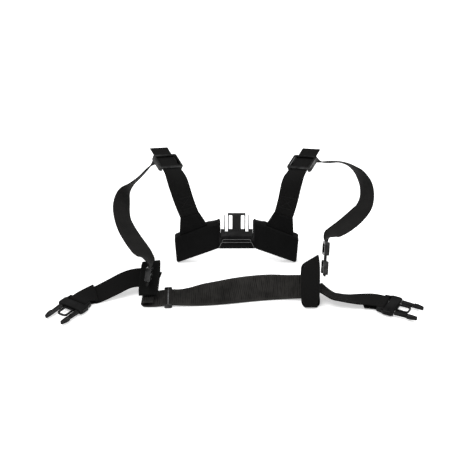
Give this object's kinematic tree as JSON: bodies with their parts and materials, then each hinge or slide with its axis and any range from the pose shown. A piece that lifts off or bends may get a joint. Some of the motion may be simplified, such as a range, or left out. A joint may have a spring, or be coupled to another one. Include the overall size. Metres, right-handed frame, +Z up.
{
  "type": "action camera chest harness",
  "caption": "Chest harness for an action camera: rigid plate with slide-in camera mount, adjustable shoulder straps, elastic back band and side-release buckles.",
  "frame": {"origin": "middle of the footprint, on the surface the harness lies on", "axes": "+X to the right of the harness as seen from its front, +Y to its back, +Z up"},
  "size_m": [0.4896, 0.2299, 0.1511],
  "materials": {
    "plate_plastic": "fine matt grain",
    "pad_foam": "closed-cell foam, matt",
    "mount_plastic": "satin",
    "anchor_plastic": "matt, slightly lighter",
    "webbing": "ribbed polyester webbing",
    "elastic": "knitted elastic with ribs across",
    "slide_plastic": "smooth, glossy",
    "buckle_plastic": "smooth, satin to glossy"
  },
  "bodies": {
    "harness": {"chest_plate": "plate_plastic", "foam_pad": "pad_foam", "camera_slide_mount": "mount_plastic", "back_band": "elastic", "left_strap_anchor": "anchor_plastic", "left_shoulder_strap": "webbing", "left_back_webbing": "webbing", "left_band_loop": "webbing", "left_side_strap": "webbing", "right_strap_anchor": "anchor_plastic", "right_shoulder_strap": "webbing", "right_back_webbing": "webbing", "right_band_loop": "webbing", "right_side_strap": "webbing"},
    "left_shoulder_adjuster": {"left_shoulder_adjuster": "slide_plastic"},
    "right_shoulder_adjuster": {"right_shoulder_adjuster": "slide_plastic"},
    "left_rear_slider": {"left_rear_slider": "slide_plastic"},
    "right_rear_slider": {"right_rear_slider": "slide_plastic"},
    "right_rear_keeper": {"right_rear_keeper": "slide_plastic"},
    "band_slider": {"band_slider": "slide_plastic"},
    "left_buckle": {"left_buckle_body": "buckle_plastic"},
    "left_buckle_arm_a": {"left_buckle_arm_a": "buckle_plastic"},
    "left_buckle_arm_b": {"left_buckle_arm_b": "buckle_plastic"},
    "right_buckle": {"right_buckle_body": "buckle_plastic"},
    "right_buckle_arm_a": {"right_buckle_arm_a": "buckle_plastic"},
    "right_buckle_arm_b": {"right_buckle_arm_b": "buckle_plastic"}
  },
  "joints": [
    {"name": "left_shoulder_adjuster_slide", "type": "slide", "parent": "harness", "child": "left_shoulder_adjuster", "axis": [-0.4484, 0.8271, 0.3388], "range_m": [-0.003, 0.003]},
    {"name": "right_shoulder_adjuster_slide", "type": "slide", "parent": "harness", "child": "right_shoulder_adjuster", "axis": [0.4563, 0.8234, 0.3373], "range_m": [-0.003, 0.003]},
    {"name": "left_rear_slider_slide", "type": "slide", "parent": "harness", "child": "left_rear_slider", "axis": [-0.1465, -0.4541, -0.8788], "range_m": [-0.001, 0.0015]},
    {"name": "right_rear_slider_slide", "type": "slide", "parent": "harness", "child": "right_rear_slider", "axis": [0.0651, 0.4552, 0.888], "range_m": [-0.003, 0]},
    {"name": "right_rear_keeper_slide", "type": "slide", "parent": "harness", "child": "right_rear_keeper", "axis": [-0.0568, -0.4587, -0.8868], "range_m": [-0.003, 0.012]},
    {"name": "band_slider_slide", "type": "slide", "parent": "harness", "child": "band_slider", "axis": [0.9979, 0.0497, 0.0416], "range_m": [-0.0015, 0.003]},
    {"name": "left_buckle_hinge", "type": "hinge", "parent": "harness", "child": "left_buckle", "pos_m": [-0.20458, -0.06183, 0.00536], "axis": [-0.8412, 0.5408, 0], "range_deg": [-2, 60]},
    {"name": "left_arm_a_flex", "type": "hinge", "parent": "left_buckle", "child": "left_buckle_arm_a", "pos_m": [-0.20495, -0.08793, 0.00536], "axis": [0, 0, -1], "range_deg": [0, 10], "stiffness_Nm_per_rad": 0.3},
    {"name": "left_arm_b_flex", "type": "hinge", "parent": "left_buckle", "child": "left_buckle_arm_b", "pos_m": [-0.22816, -0.073, 0.00536], "axis": [0, 0, 1], "range_deg": [0, 10], "stiffness_Nm_per_rad": 0.3},
    {"name": "right_buckle_hinge", "type": "hinge", "parent": "harness", "child": "right_buckle", "pos_m": [0.19219, -0.06696, 0.00536], "axis": [-0.4711, -0.8821, 0], "range_deg": [-2, 60]},
    {"name": "right_arm_a_flex", "type": "hinge", "parent": "right_buckle", "child": "right_buckle_arm_a", "pos_m": [0.21823, -0.06522, 0.00536], "axis": [0, 0, -1], "range_deg": [0, 10], "stiffness_Nm_per_rad": 0.3},
    {"name": "right_arm_b_flex", "type": "hinge", "parent": "right_buckle", "child": "right_buckle_arm_b", "pos_m": [0.20522, -0.08957, 0.00536], "axis": [0, 0, 1], "range_deg": [0, 10], "stiffness_Nm_per_rad": 0.3}
  ]
}
